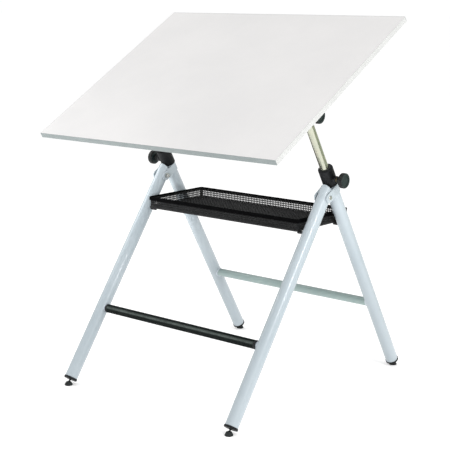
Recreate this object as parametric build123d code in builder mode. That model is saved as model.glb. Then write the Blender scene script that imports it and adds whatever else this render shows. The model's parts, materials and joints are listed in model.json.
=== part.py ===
from build123d import *

import os
from math import cos, radians, sin

os.makedirs("parts", exist_ok=True)

# ---------------------------------------------------------------- dimensions (mm, degrees)
# +X is to the user's right, +Y away from the user, +Z up, floor at Z = 0.

# trestle
LEG_X = 348.0  # leg centre planes, either side of the middle
LEG_R = 21.0
LEG_WALL = 1.5
FOOT_Y = 445.0  # ball centres of the levelling feet, front and rear
FOOT_Z = 7.5
FRONT_LEAN = 35.33
REAR_LEAN = 30.5
TUBE_START = 19.5  # lower end of each leg tube, measured along the leg from the ball
REAR_TUBE_END = 790.0
TOUCH = 0.02  # gap left between faces that meet
RUN = 0.05  # radial running clearance

# fold hinge
FOLD_S = 789.0  # along the front leg
MITRE_V = -25.0  # front leg ends on this line, parallel with the rear leg
EAR_GAP = 21.3
EAR_T = 3.0
EAR_FRONT = -65.0
EAR_LOW = 760.0
EAR_HIGH = 789.5
EAR_CORNER = 14.0
EAR_STEP = -6.0
BOLT_R = 4.0
BUSH_R = 6.0
DOME_R = 7.5
DOME_H = 3.5
NUT_R = 7.4
NUT_H = 6.0
ACORN_H = 5.0
ACORN_R = 6.0
DOME_FILL = 0.8
BUSH_GAP = 0.15
WASHER_R = 8.5
WASHER_T = 1.6

# stop bumper on the front leg's end plug
BUMPER_LOW = 776.0
BUMPER_HIGH = 788.0
BUMPER_W = 14.0
BUMPER_V = -21.1
BUMPER_ROOT = 4.0
PLUG_LOW = 797.0  # clear of the fold bush
PLUG_SINK = 0.4

# footrest and crossbar
FOOTREST_S = 277.6
FOOTREST_R = 11.0
SLEEVE_R = 13.2
SLEEVE_RIB = 0.9
SLEEVE_RIBS = 28
SLEEVE_HALF = 316.0
END_COLLAR_R = 14.5
END_COLLAR_LEN = 8.0
END_COLLAR_EDGE = 1.0
CROSSBAR_S = 283.8
CROSSBAR_R = 14.0
CROSSBAR_WALL = 1.5
COPE_TRIM = 10.0

# levelling feet
CAP_R = 22.4
CAP_LOW = 12.5
CAP_PLUG = 42.0
CAP_SHOULDER = 2.0
BALL_R = 6.5
NECK_R = 2.5
NECK_LEN = 10.0
SCREW_R = 4.0
SCREW_END = 52.0
PAD_R = 13.0
PAD_RIM = 3.2
PAD_TOP_R = 8.6
PAD_H = 10.8
PAD_EDGE = 0.8
SOCKET_ANGLE = 62.0

# height-adjusting posts
POST_R = 14.0
POST_WALL = 1.5
POST_LOW = 592.0
POST_TOP = 1037.0
GUIDE_R = 19.3
GUIDE_LEN = 24.0
GUIDE_LIP = 3.0
GUIDE_EDGE = 1.0
PIVOT_S = 1055.0
HEAD_PLUG = 24.0
HEAD_TOP = 13.0
HEAD_ROUND = 5.0

# clamping collars
COLLAR_R = 24.0
COLLAR_BACK = 3.0  # the collar's body stands this far behind the post's axis
COLLAR_TOP = 853.0
COLLAR_PLUG = 745.0
COLLAR_ROUND = 5.0
POST_SLIP = 0.1  # radial
CLAMP_S = 811.0
BOSS_R = 12.0
BOSS_END = 33.0
INSERT_START = 24.0
INSERT_END = 32.5
SCREW_GAP = 0.3  # between the post and the clamp screw's tip
SCREW_CHAMFER = 0.6

# knobs
KNOB_R = 24.0
KNOB_T = 17.0
KNOB_HUB_R = 11.0
KNOB_HUB = 12.0
KNOB_OFFSET = 66.0  # outer face of the collar knobs, from the leg axis
TILT_OFFSET = 56.5
KNOB_FLUTES = 20
FLUTE_R = 2.2
FLUTE_OUT = 0.6
KNOB_EDGE = 3.0
KNOB_BACK = 4.0
HUB_EDGE = 1.5
KNOB_RECESS_R = 16.0
KNOB_RECESS = 1.5
KNOB_SKIN = 3.0

# drawing board, measured from the tilt pivot square to and along the board
BOARD_W = 976.0
BOARD_D = 750.0
BOARD_T = 17.0
BAND_T = 1.0
BOARD_TOP = 86.5
BOARD_FRONT = -327.0
RAIL_H = 20.0
RAIL_WALL = 2.0
RAIL_FRONT = -225.0
RAIL_REAR = 330.0
RAIL_SLOPE = 10.0
TILT_SLIP = 0.7  # either side of the post's head
TILT_T = 3.0
TILT_EAR_R = 15.0
TILT_TOP_HALF = 34.0
BOARD_SCREW_R = 2.0
BOARD_SCREW_LEN = 14.0
BOARD_SCREW_HEAD = 4.2
BOARD_SCREW_HEAD_T = 2.4
BOARD_SCREW_SPAN = 160.0
BOARD_SCREWS = 4

# mesh tray between the legs
TRAY_X = 319.5
TRAY_FRONT = -86.0
TRAY_REAR = 188.0
TRAY_LOW = 551.0
TRAY_RIM = 590.5
TRAY_RIM_H = 12.5
TRAY_RIM_T = 3.2
TRAY_RIM_ROUND = 1.0
TRAY_CORNER = 8.0
TRAY_SHEET = 0.8
TRAY_RING_H = 4.0  # flat ring round the basket's foot
TRAY_RING_T = 2.0
TRAY_BARS = 5  # flat strips under the basket, from the ring's front to its rear
TRAY_BAR_W = 6.0
TRAY_BAR_T = 1.6
PEG_R = 5.0
PEG_IN = 305.0
PEG_Z = 545.9
PEG_CHAMFER = 1.0

# derived
COLLAR_BORE = POST_R + POST_SLIP
SCREW_TIP = POST_R + SCREW_GAP
TILT_GAP = POST_R + TILT_SLIP
TILT_FACE = TILT_GAP + TILT_T + TOUCH
RAIL_W = 2 * (TILT_GAP + TILT_T)
BOARD_LOW = BOARD_TOP - BOARD_T
RAIL_MIDDLE = (RAIL_FRONT + RAIL_REAR) / 2
RAIL_LOW = BOARD_LOW - RAIL_H
TRAY_MID = (TRAY_FRONT + TRAY_REAR) / 2
TRAY_DEPTH = TRAY_REAR - TRAY_FRONT
SIDES = ((-1, "left"), (1, "right"))
ALIGN_OUT = {-1: Align.MAX, 1: Align.MIN}
FRAMES = ((-1, "front", FRONT_LEAN), (1, "rear", REAR_LEAN))


# ---------------------------------------------------------------- planes
def along(row, lean, distance):
    """Cross-section plane of a leg: +Z up the leg, X across, distance from the ball centre."""
    angle = radians(lean)
    base = Plane(
        origin=(0, row * FOOT_Y, FOOT_Z),
        x_dir=(1, 0, 0),
        z_dir=(0, -row * sin(angle), cos(angle)),
    )
    return base.offset(distance)


def rear_along(distance):
    return along(1, REAR_LEAN, distance)


def front_along(distance):
    return along(-1, FRONT_LEAN, distance)


def rear_side(x):
    """Side-on plane at x: local (across the rear leg, up the rear leg)."""
    angle = radians(REAR_LEAN)
    return Plane(origin=(x, FOOT_Y, FOOT_Z), x_dir=(0, cos(angle), sin(angle)), z_dir=(1, 0, 0))


def front_side(x):
    """Side-on plane at x: local (across the front leg, up the front leg)."""
    angle = radians(FRONT_LEAN)
    return Plane(origin=(x, -FOOT_Y, FOOT_Z), x_dir=(0, cos(angle), -sin(angle)), z_dir=(1, 0, 0))


# the fold pivot lies on the front leg's axis; here it is in the rear leg's side view
FOLD_V, FOLD_W, _ = rear_side(0).to_local_coords(front_side(0).from_local_coords((0, FOLD_S, 0)))


def outward(side, offset, up, across=0.0):
    """Plane facing away from the middle, centred on a point of the rear leg's side view."""
    point = rear_side(side * (LEG_X + offset)).from_local_coords((across, up, 0))
    return Plane(origin=point, x_dir=(0, 1, 0), z_dir=(side, 0, 0))


def both_outward(offset, up, across=0.0):
    return [outward(side, offset, up, across) for side, _ in SIDES]


def circles_beyond(builder, x):
    """Circular edges further than x from the middle, on both sides."""
    return builder.edges().filter_by(GeomType.CIRCLE).filter_by(lambda edge: abs(edge.center().X) > x)


def circles_within(builder, x):
    return builder.edges().filter_by(GeomType.CIRCLE).filter_by(lambda edge: abs(edge.center().X) < x)


def circles_wider(builder, radius):
    return builder.edges().filter_by(GeomType.CIRCLE).filter_by(lambda edge: edge.radius > radius)


def save(builder, name):
    builder.part.label = name
    export_step(builder.part, f"parts/{name}.step")


# ---------------------------------------------------------------- leg tubes
def make_rear_leg(side, hand):
    with BuildPart() as leg:
        with BuildSketch(rear_along(TUBE_START)):
            with Locations((side * LEG_X, 0)):
                Circle(LEG_R)
                Circle(LEG_R - LEG_WALL, mode=Mode.SUBTRACT)
        extrude(amount=REAR_TUBE_END - TUBE_START)
    save(leg, f"rear_leg_{hand}")


def beyond_mitre(side, sink):
    """Block filling everything behind the line where the front leg stops short of the rear leg."""
    with BuildPart() as block:
        with BuildSketch(rear_side(side * LEG_X - 2 * LEG_R)):
            with Locations((MITRE_V - sink, FOLD_W)):
                Rectangle(8 * LEG_R, 8 * LEG_R, align=(Align.MIN, Align.CENTER))
        extrude(amount=4 * LEG_R)
    return block.part


def make_front_leg(side, hand):
    with BuildPart() as leg:
        with BuildSketch(front_along(TUBE_START)):
            with Locations((side * LEG_X, 0)):
                Circle(LEG_R)
                Circle(LEG_R - LEG_WALL, mode=Mode.SUBTRACT)
        extrude(amount=FOLD_S + 3 * LEG_R - TUBE_START)
        add(beyond_mitre(side, 0), mode=Mode.SUBTRACT)
        with BuildSketch(front_side(side * LEG_X - 2 * LEG_R)):
            with Locations((0, FOLD_S)):
                Circle(BUSH_R + TOUCH)
        extrude(amount=4 * LEG_R, mode=Mode.SUBTRACT)
    save(leg, f"front_leg_{hand}")


def make_front_leg_plug(side, hand):
    """End plug of the front leg, with the bumper that meets the rear leg when unfolded."""
    with BuildPart() as plug:
        with BuildSketch(front_along(PLUG_LOW)):
            with Locations((side * LEG_X, 0)):
                Circle(LEG_R - LEG_WALL - TOUCH)
        extrude(amount=3 * LEG_R)
        add(beyond_mitre(side, PLUG_SINK), mode=Mode.SUBTRACT)
        with BuildSketch(rear_side(side * LEG_X - BUMPER_W / 2)):
            with Locations((MITRE_V - BUMPER_ROOT, BUMPER_LOW)):
                Rectangle(
                    BUMPER_V - MITRE_V + BUMPER_ROOT,
                    BUMPER_HIGH - BUMPER_LOW,
                    align=(Align.MIN, Align.MIN),
                )
        extrude(amount=BUMPER_W)
    save(plug, f"front_leg_plug_{hand}")


# ---------------------------------------------------------------- cross members
def coped_bar(plane_at, row, lean, distance, radius, bore):
    """Tube between the two legs, its ends shaped to the leg tubes."""
    with BuildPart() as bar:
        with BuildSketch(plane_at(-LEG_X)):
            with Locations((0, distance)):
                Circle(radius)
                Circle(bore, mode=Mode.SUBTRACT)
        extrude(amount=2 * LEG_X)
        with BuildSketch(along(row, lean, distance - 3 * radius)):
            for side, _ in SIDES:
                with Locations((side * LEG_X, 0)):
                    Circle(LEG_R + TOUCH)
                with Locations((side * (LEG_X - COPE_TRIM), 0)):
                    Rectangle(LEG_R, 6 * radius, align=(ALIGN_OUT[side], Align.CENTER))
        extrude(amount=6 * radius, mode=Mode.SUBTRACT)
    return bar


def make_crossbar():
    bar = coped_bar(rear_side, 1, REAR_LEAN, CROSSBAR_S, CROSSBAR_R, CROSSBAR_R - CROSSBAR_WALL)
    save(bar, "rear_crossbar")


def make_footrest():
    bar = coped_bar(front_side, -1, FRONT_LEAN, FOOTREST_S, FOOTREST_R, FOOTREST_R - LEG_WALL)
    save(bar, "footrest_tube")

    with BuildPart() as sleeve:
        with BuildSketch(front_side(-SLEEVE_HALF)):
            with Locations((0, FOOTREST_S)):
                Circle(SLEEVE_R)
                with PolarLocations(SLEEVE_R, SLEEVE_RIBS):
                    Circle(SLEEVE_RIB)
                Circle(FOOTREST_R + TOUCH, mode=Mode.SUBTRACT)
        extrude(amount=2 * SLEEVE_HALF)
    save(sleeve, "footrest_sleeve")

    for side, hand in SIDES:
        with BuildPart() as ring:
            with BuildSketch(front_side(side * (SLEEVE_HALF + END_COLLAR_LEN / 2) - END_COLLAR_LEN / 2)):
                with Locations((0, FOOTREST_S)):
                    Circle(END_COLLAR_R)
                    Circle(FOOTREST_R + TOUCH, mode=Mode.SUBTRACT)
            extrude(amount=END_COLLAR_LEN)
            chamfer(circles_wider(ring, SLEEVE_R), END_COLLAR_EDGE)
        save(ring, f"footrest_collar_{hand}")


# ---------------------------------------------------------------- fold hinge
def make_hinge_bracket(side, hand):
    """U-shaped strap round the rear leg; its two ears straddle the front leg."""
    with BuildPart() as bracket:
        with BuildSketch(rear_along(EAR_LOW)):
            with Locations((side * LEG_X, 0)):
                Circle(EAR_GAP + EAR_T)
                Rectangle(2 * (EAR_GAP + EAR_T), -EAR_FRONT, align=(Align.CENTER, Align.MAX))
            with Locations((side * LEG_X, EAR_STEP)):
                Rectangle(2 * EAR_GAP, -EAR_FRONT, align=(Align.CENTER, Align.MAX), mode=Mode.SUBTRACT)
            with Locations((side * LEG_X, 0)):
                Circle(LEG_R + TOUCH, mode=Mode.SUBTRACT)
        extrude(amount=EAR_HIGH - EAR_LOW)
        corners = bracket.edges().filter_by(Axis.X).group_by(Axis.Y)[:2]
        front_corners = [e for group in corners for e in group if e.length < 2 * EAR_T]
        fillet(front_corners, EAR_CORNER)
        with BuildSketch(rear_side(side * LEG_X - 2 * LEG_R)):
            with Locations((FOLD_V, FOLD_W)):
                Circle(BOLT_R + TOUCH)
        extrude(amount=4 * LEG_R, mode=Mode.SUBTRACT)
    save(bracket, f"hinge_bracket_{hand}")


def make_fold_pivots():
    """Bolts with an outer dome head, inner acorn nuts, and the bushes that turn on them."""
    face = EAR_GAP + EAR_T + TOUCH
    inner_end = face + NUT_H
    with BuildPart() as bolts:
        with BuildSketch(*both_outward(-inner_end, FOLD_W, FOLD_V)):
            Circle(BOLT_R)
        extrude(amount=inner_end + face)
        with BuildSketch(*both_outward(face, FOLD_W, FOLD_V)):
            Circle(DOME_R)
        extrude(amount=DOME_H)
        fillet(circles_beyond(bolts, LEG_X + face + DOME_H / 2), DOME_H * DOME_FILL)
    save(bolts, "fold_bolts")

    with BuildPart() as nuts:
        with BuildSketch(*both_outward(-face - WASHER_T, FOLD_W, FOLD_V)):
            Circle(WASHER_R)
        extrude(amount=WASHER_T)
        with BuildSketch(*both_outward(-inner_end, FOLD_W, FOLD_V)):
            RegularPolygon(NUT_R, 6)
        extrude(amount=NUT_H)
        with BuildSketch(*both_outward(-inner_end - ACORN_H, FOLD_W, FOLD_V)):
            Circle(ACORN_R)
        extrude(amount=ACORN_H)
        fillet(circles_within(nuts, LEG_X - inner_end - ACORN_H / 2), ACORN_H * DOME_FILL)
        with BuildSketch(*both_outward(-inner_end - TOUCH, FOLD_W, FOLD_V)):
            Circle(BOLT_R + TOUCH)
        extrude(amount=2 * NUT_H, mode=Mode.SUBTRACT)
    save(nuts, "fold_nuts")

    with BuildPart() as bushes:
        with BuildSketch(*both_outward(-EAR_GAP + BUSH_GAP, FOLD_W, FOLD_V)):
            Circle(BUSH_R)
            Circle(BOLT_R + RUN, mode=Mode.SUBTRACT)
        extrude(amount=2 * (EAR_GAP - BUSH_GAP))
    save(bushes, "fold_bushes")


# ---------------------------------------------------------------- levelling feet
def make_foot_cap(row, frame, lean, side, hand):
    with BuildPart() as cap:
        with BuildSketch(along(row, lean, CAP_LOW)):
            with Locations((side * LEG_X, 0)):
                Circle(CAP_R)
        extrude(amount=TUBE_START - CAP_LOW - TOUCH)
        low_edge = cap.edges().filter_by(GeomType.CIRCLE).sort_by(Axis.Z)[0]
        fillet(low_edge, CAP_SHOULDER)
        with BuildSketch(along(row, lean, CAP_LOW + CAP_SHOULDER)):
            with Locations((side * LEG_X, 0)):
                Circle(LEG_R - LEG_WALL - TOUCH)
        extrude(amount=CAP_PLUG - CAP_LOW - CAP_SHOULDER)
        with BuildSketch(along(row, lean, CAP_LOW - CAP_SHOULDER)):
            with Locations((side * LEG_X, 0)):
                Circle(SCREW_R + RUN)
        extrude(amount=CAP_PLUG - CAP_LOW + 2 * CAP_SHOULDER, mode=Mode.SUBTRACT)
    save(cap, f"{frame}_foot_cap_{hand}")


def make_foot_screw(row, frame, lean, side, hand):
    """Screw with a ball on its lower end."""
    ball_at = along(row, lean, 0).from_local_coords((side * LEG_X, 0, 0))
    with BuildPart() as screw:
        with Locations(ball_at):
            Sphere(BALL_R)
        with BuildSketch(along(row, lean, 0)):
            with Locations((side * LEG_X, 0)):
                Circle(NECK_R)
        extrude(amount=NECK_LEN)
        with BuildSketch(along(row, lean, NECK_LEN)):
            with Locations((side * LEG_X, 0)):
                Circle(SCREW_R)
        extrude(amount=SCREW_END - NECK_LEN)
    save(screw, f"{frame}_foot_screw_{hand}")


def make_foot_pad(row, frame, side, hand):
    """Turned pad with a ball socket; it stays flat on the floor."""
    opening = radians(SOCKET_ANGLE)
    reach = 2 * PAD_H
    with BuildPart() as pad:
        with BuildSketch(Plane(origin=(side * LEG_X, row * FOOT_Y, 0), x_dir=(1, 0, 0), z_dir=(0, -1, 0))):
            with BuildLine():
                Polyline(
                    (0, 0),
                    (PAD_R, 0),
                    (PAD_R, PAD_RIM),
                    (PAD_TOP_R, PAD_H),
                    (0, PAD_H),
                    close=True,
                )
            make_face()
            with Locations((0, FOOT_Z)):
                Circle(BALL_R + RUN, mode=Mode.SUBTRACT)
            with BuildLine():
                Polyline(
                    (0, FOOT_Z),
                    (reach * sin(opening), FOOT_Z + reach * cos(opening)),
                    (0, FOOT_Z + reach),
                    close=True,
                )
            make_face(mode=Mode.SUBTRACT)
            with Locations((0, 0)):
                Rectangle(2 * PAD_R, 2 * PAD_H, align=(Align.MAX, Align.CENTER), mode=Mode.SUBTRACT)
        revolve(axis=Axis((side * LEG_X, row * FOOT_Y, 0), (0, 0, 1)))
        fillet(circles_wider(pad, PAD_TOP_R + TOUCH), PAD_EDGE)
    save(pad, f"{frame}_foot_pad_{hand}")


# ---------------------------------------------------------------- posts and collars
def make_post(side, hand):
    with BuildPart() as post:
        with BuildSketch(rear_along(POST_LOW)):
            with Locations((side * LEG_X, 0)):
                Circle(POST_R)
                Circle(POST_R - POST_WALL, mode=Mode.SUBTRACT)
        extrude(amount=POST_TOP - POST_LOW)
    save(post, f"post_{hand}")

    with BuildPart() as guide:
        with BuildSketch(rear_along(POST_LOW - GUIDE_LIP)):
            with Locations((side * LEG_X, 0)):
                Circle(GUIDE_R)
        extrude(amount=GUIDE_LEN)
        with BuildSketch(rear_along(POST_LOW - TOUCH)):
            with Locations((side * LEG_X, 0)):
                Circle(POST_R + TOUCH)
        extrude(amount=GUIDE_LEN, mode=Mode.SUBTRACT)
        chamfer(circles_wider(guide, POST_R + RUN), GUIDE_EDGE)
    save(guide, f"post_guide_{hand}")

    with BuildPart() as head:
        with BuildSketch(rear_along(POST_TOP + TOUCH)):
            with Locations((side * LEG_X, 0)):
                Circle(POST_R)
        extrude(amount=PIVOT_S + HEAD_TOP - POST_TOP)
        fillet(head.edges().filter_by(GeomType.CIRCLE).sort_by(Axis.Z)[-1], HEAD_ROUND)
        with BuildSketch(rear_along(POST_TOP - HEAD_PLUG)):
            with Locations((side * LEG_X, 0)):
                Circle(POST_R - POST_WALL - TOUCH)
        extrude(amount=HEAD_PLUG + HEAD_ROUND)
        with BuildSketch(rear_side(side * LEG_X - 2 * POST_R)):
            with Locations((0, PIVOT_S)):
                Circle(BOLT_R + RUN)
        extrude(amount=4 * POST_R, mode=Mode.SUBTRACT)
    save(head, f"post_head_{hand}")


def make_collar(side, hand):
    """Moulded collar on the rear leg's top end, with a side boss for the clamp screw."""
    with BuildPart() as collar:
        with BuildSketch(rear_along(REAR_TUBE_END + TOUCH)):
            with Locations((side * LEG_X, COLLAR_BACK)):
                Circle(COLLAR_R)
        extrude(amount=COLLAR_TOP - REAR_TUBE_END)
        fillet(collar.edges().filter_by(GeomType.CIRCLE).sort_by(Axis.Z)[-1], COLLAR_ROUND)
        with BuildSketch(rear_along(COLLAR_PLUG)):
            with Locations((side * LEG_X, 0)):
                Circle(LEG_R - LEG_WALL - TOUCH)
        extrude(amount=REAR_TUBE_END - COLLAR_PLUG + COLLAR_ROUND)
        with BuildSketch(outward(side, 0, CLAMP_S)):
            Circle(BOSS_R)
        extrude(amount=BOSS_END)
        with BuildSketch(rear_along(COLLAR_PLUG - COLLAR_ROUND)):
            with Locations((side * LEG_X, 0)):
                Circle(COLLAR_BORE)
        extrude(amount=COLLAR_TOP - COLLAR_PLUG + 2 * COLLAR_ROUND, mode=Mode.SUBTRACT)
        with BuildSketch(outward(side, 0, CLAMP_S)):
            Circle(SCREW_R + RUN)
        extrude(amount=BOSS_END, mode=Mode.SUBTRACT)
        with BuildSketch(outward(side, INSERT_START, CLAMP_S)):
            RegularPolygon(NUT_R + TOUCH, 6)
        extrude(amount=BOSS_END, mode=Mode.SUBTRACT)
    save(collar, f"post_collar_{hand}")


def make_collar_inserts():
    """Threaded inserts that the clamp screws run in."""
    with BuildPart() as inserts:
        with BuildSketch(*both_outward(INSERT_START + TOUCH, CLAMP_S)):
            RegularPolygon(NUT_R, 6)
            Circle(SCREW_R + RUN, mode=Mode.SUBTRACT)
        extrude(amount=INSERT_END - INSERT_START)
    save(inserts, "collar_inserts")


# ---------------------------------------------------------------- knobs
def fluted_knob(side, offset, up, hub_end, hole_r):
    """Fluted hand knob, its outer face at offset and its hub's end at hub_end from the leg axis."""
    with BuildPart() as knob:
        with BuildSketch(outward(side, offset - KNOB_T, up)):
            Circle(KNOB_R)
        extrude(amount=KNOB_T)
        back, face = knob.edges().filter_by(GeomType.CIRCLE).sort_by(lambda edge: abs(edge.center().X))
        chamfer(back, KNOB_BACK)
        fillet(face, KNOB_EDGE)
        with BuildSketch(outward(side, offset - KNOB_T, up)):
            with PolarLocations(KNOB_R + FLUTE_R * FLUTE_OUT, KNOB_FLUTES):
                Circle(FLUTE_R)
        extrude(amount=KNOB_T, mode=Mode.SUBTRACT)
        with BuildSketch(outward(side, hub_end, up)):
            Circle(KNOB_HUB_R)
        extrude(amount=offset - KNOB_T + KNOB_SKIN - hub_end)
        chamfer(circles_within(knob, LEG_X + hub_end + TOUCH), HUB_EDGE)
        with BuildSketch(outward(side, offset - KNOB_RECESS, up)):
            Circle(KNOB_RECESS_R)
        extrude(amount=KNOB_T, mode=Mode.SUBTRACT)
        with BuildSketch(outward(side, hub_end - KNOB_SKIN, up)):
            Circle(hole_r)
        extrude(amount=offset - KNOB_RECESS - hub_end, mode=Mode.SUBTRACT)
    return knob


def make_collar_knob(side, hand):
    hub_end = KNOB_OFFSET - KNOB_T - KNOB_HUB
    save(fluted_knob(side, KNOB_OFFSET, CLAMP_S, hub_end, SCREW_R + TOUCH), f"collar_knob_{hand}")

    with BuildPart() as screw:
        with BuildSketch(outward(side, SCREW_TIP, CLAMP_S)):
            Circle(SCREW_R)
        extrude(amount=KNOB_OFFSET - KNOB_RECESS - 2 * KNOB_SKIN - SCREW_TIP)
        chamfer(screw.edges().filter_by(GeomType.CIRCLE), SCREW_CHAMFER)
    save(screw, f"clamp_screw_{hand}")


def make_tilt_knob(side, hand):
    hub_end = TILT_FACE + WASHER_T + RUN
    save(fluted_knob(side, TILT_OFFSET, PIVOT_S, hub_end, SCREW_R + RUN), f"tilt_knob_{hand}")


def make_tilt_bolts():
    """Round-headed bolts through the tilt brackets and post heads, with the knobs on their ends."""
    with BuildPart() as bolts:
        with BuildSketch(*both_outward(-TILT_FACE - DOME_H, PIVOT_S)):
            Circle(DOME_R)
        extrude(amount=DOME_H)
        fillet(circles_within(bolts, LEG_X - TILT_FACE - DOME_H / 2), DOME_H * DOME_FILL)
        with BuildSketch(*both_outward(-TILT_FACE, PIVOT_S)):
            Circle(BOLT_R)
        extrude(amount=TILT_FACE + TILT_OFFSET - KNOB_RECESS - 2 * KNOB_SKIN)
    save(bolts, "tilt_bolts")

    with BuildPart() as washers:
        with BuildSketch(*both_outward(TILT_FACE, PIVOT_S)):
            Circle(WASHER_R)
            Circle(BOLT_R + TOUCH, mode=Mode.SUBTRACT)
        extrude(amount=WASHER_T)
    save(washers, "tilt_washers")


# ---------------------------------------------------------------- drawing board
def board_screw_places():
    """Places where the two rails are screwed to the board."""
    return GridLocations(2 * LEG_X, BOARD_SCREW_SPAN, 2, BOARD_SCREWS)


def make_board():
    level = PIVOT_S + BOARD_LOW
    middle = BOARD_FRONT + BOARD_D / 2
    with BuildPart() as panel:
        with BuildSketch(rear_along(level)):
            with Locations((0, middle)):
                Rectangle(BOARD_W - 2 * (BAND_T + TOUCH), BOARD_D - 2 * (BAND_T + TOUCH))
        extrude(amount=BOARD_T)
        with BuildSketch(rear_along(level)):
            with Locations((0, RAIL_MIDDLE)):
                with board_screw_places():
                    Circle(BOARD_SCREW_R + TOUCH)
        extrude(amount=BOARD_SCREW_LEN, mode=Mode.SUBTRACT)
    save(panel, "board_panel")

    for end, name in ((-1, "front"), (1, "rear")):
        with BuildPart() as band:
            with BuildSketch(rear_along(level)):
                with Locations((0, middle + end * (BOARD_D - BAND_T) / 2)):
                    Rectangle(BOARD_W, BAND_T)
            extrude(amount=BOARD_T)
        save(band, f"edge_band_{name}")

    for side, hand in SIDES:
        with BuildPart() as band:
            with BuildSketch(rear_along(level)):
                with Locations((side * (BOARD_W - BAND_T) / 2, middle)):
                    Rectangle(BAND_T, BOARD_D - 2 * (BAND_T + TOUCH))
            extrude(amount=BOARD_T)
        save(band, f"edge_band_{hand}")


def make_board_rail(side, hand):
    """Channel screwed under the board, open downwards, its front and rear ends cut on a slope."""
    top = PIVOT_S + BOARD_LOW - TOUCH
    low = top - RAIL_H
    with BuildPart() as rail:
        with BuildSketch(rear_side(side * LEG_X - RAIL_W / 2)):
            with BuildLine():
                Polyline(
                    (RAIL_FRONT, top),
                    (RAIL_REAR, top),
                    (RAIL_REAR, top - RAIL_SLOPE),
                    (RAIL_REAR - RAIL_SLOPE, low),
                    (RAIL_FRONT + RAIL_SLOPE, low),
                    (RAIL_FRONT, top - RAIL_SLOPE),
                    close=True,
                )
            make_face()
        extrude(amount=RAIL_W)
        with BuildSketch(rear_side(side * LEG_X - RAIL_W / 2 + RAIL_WALL)):
            with Locations((RAIL_FRONT - RAIL_H, low - RAIL_H)):
                Rectangle(
                    RAIL_REAR - RAIL_FRONT + 2 * RAIL_H,
                    2 * RAIL_H - RAIL_WALL,
                    align=(Align.MIN, Align.MIN),
                )
        extrude(amount=RAIL_W - 2 * RAIL_WALL, mode=Mode.SUBTRACT)
        with BuildSketch(rear_along(low)):
            with Locations((0, RAIL_MIDDLE)):
                with board_screw_places():
                    Circle(BOARD_SCREW_R + TOUCH)
        extrude(amount=2 * RAIL_H, mode=Mode.SUBTRACT)
    save(rail, f"board_rail_{hand}")


def make_board_screws():
    seat = PIVOT_S + BOARD_LOW - RAIL_WALL - 2 * TOUCH
    with BuildPart() as screws:
        with BuildSketch(rear_along(seat)):
            with Locations((0, RAIL_MIDDLE)):
                with board_screw_places():
                    Circle(BOARD_SCREW_R)
        extrude(amount=BOARD_SCREW_LEN)
        with BuildSketch(rear_along(seat)):
            with Locations((0, RAIL_MIDDLE)):
                with board_screw_places():
                    Circle(BOARD_SCREW_HEAD)
        extrude(amount=-BOARD_SCREW_HEAD_T)
    save(screws, "board_screws")


def make_tilt_bracket(side, hand):
    """U-shaped bracket hanging from the rail, straddling the post's head."""
    top = PIVOT_S + RAIL_LOW - 2 * TOUCH
    with BuildPart() as bracket:
        with BuildSketch(rear_side(side * LEG_X - RAIL_W / 2)):
            with Locations((0, PIVOT_S)):
                Circle(TILT_EAR_R)
            with BuildLine():
                Polyline(
                    (-TILT_EAR_R, PIVOT_S),
                    (TILT_EAR_R, PIVOT_S),
                    (TILT_TOP_HALF, top - TILT_T),
                    (TILT_TOP_HALF, top),
                    (-TILT_TOP_HALF, top),
                    (-TILT_TOP_HALF, top - TILT_T),
                    close=True,
                )
            make_face()
        extrude(amount=RAIL_W)
        with BuildSketch(rear_side(side * LEG_X - TILT_GAP)):
            with Locations((0, top - TILT_T)):
                Rectangle(4 * TILT_TOP_HALF, 4 * TILT_TOP_HALF, align=(Align.CENTER, Align.MAX))
        extrude(amount=2 * TILT_GAP, mode=Mode.SUBTRACT)
        with BuildSketch(rear_side(side * LEG_X - RAIL_W)):
            with Locations((0, PIVOT_S)):
                Circle(BOLT_R + TOUCH)
        extrude(amount=2 * RAIL_W, mode=Mode.SUBTRACT)
    save(bracket, f"tilt_bracket_{hand}")


# ---------------------------------------------------------------- tray
def tray_outline(inset):
    """Rounded rectangle of the tray, drawn smaller by inset. Call inside BuildSketch."""
    with Locations((0, TRAY_MID)):
        RectangleRounded(2 * (TRAY_X - inset), TRAY_DEPTH - 2 * inset, TRAY_CORNER - inset)


def tray_cut(inset):
    with Locations((0, TRAY_MID)):
        RectangleRounded(
            2 * (TRAY_X - inset), TRAY_DEPTH - 2 * inset, TRAY_CORNER - inset, mode=Mode.SUBTRACT
        )


def make_tray():
    with BuildPart() as rim:
        with BuildSketch(Plane.XY.offset(TRAY_RIM - TRAY_RIM_H)):
            tray_outline(0)
            tray_cut(TRAY_RIM_T)
        extrude(amount=TRAY_RIM_H)
        fillet(rim.faces().sort_by(Axis.Z)[-1].edges(), TRAY_RIM_ROUND)
    save(rim, "tray_rim")

    shell = TRAY_RIM_T + TOUCH
    floor = TRAY_LOW + TRAY_BAR_T + TOUCH
    with BuildPart() as basket:
        with BuildSketch(Plane.XY.offset(floor)):
            tray_outline(shell)
        extrude(amount=TRAY_RIM - TRAY_RIM_T - floor)
        with BuildSketch(Plane.XY.offset(floor + TRAY_SHEET)):
            tray_outline(shell + TRAY_SHEET)
        extrude(amount=TRAY_RIM, mode=Mode.SUBTRACT)
    save(basket, "tray_basket")

    with BuildPart() as base:
        with BuildSketch(Plane.XY.offset(TRAY_LOW)):
            tray_outline(TRAY_RIM_T - TRAY_RING_T)
            tray_cut(TRAY_RIM_T)
        extrude(amount=TRAY_RING_H)
        with BuildSketch(Plane.XY.offset(TRAY_LOW)):
            with Locations((0, TRAY_MID)):
                with GridLocations(2 * TRAY_X / (TRAY_BARS + 1), 1, TRAY_BARS, 1):
                    Rectangle(TRAY_BAR_W, TRAY_DEPTH - 2 * TRAY_RIM_T + TRAY_RING_T)
        extrude(amount=TRAY_BAR_T)
    save(base, "tray_base_frame")


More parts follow.
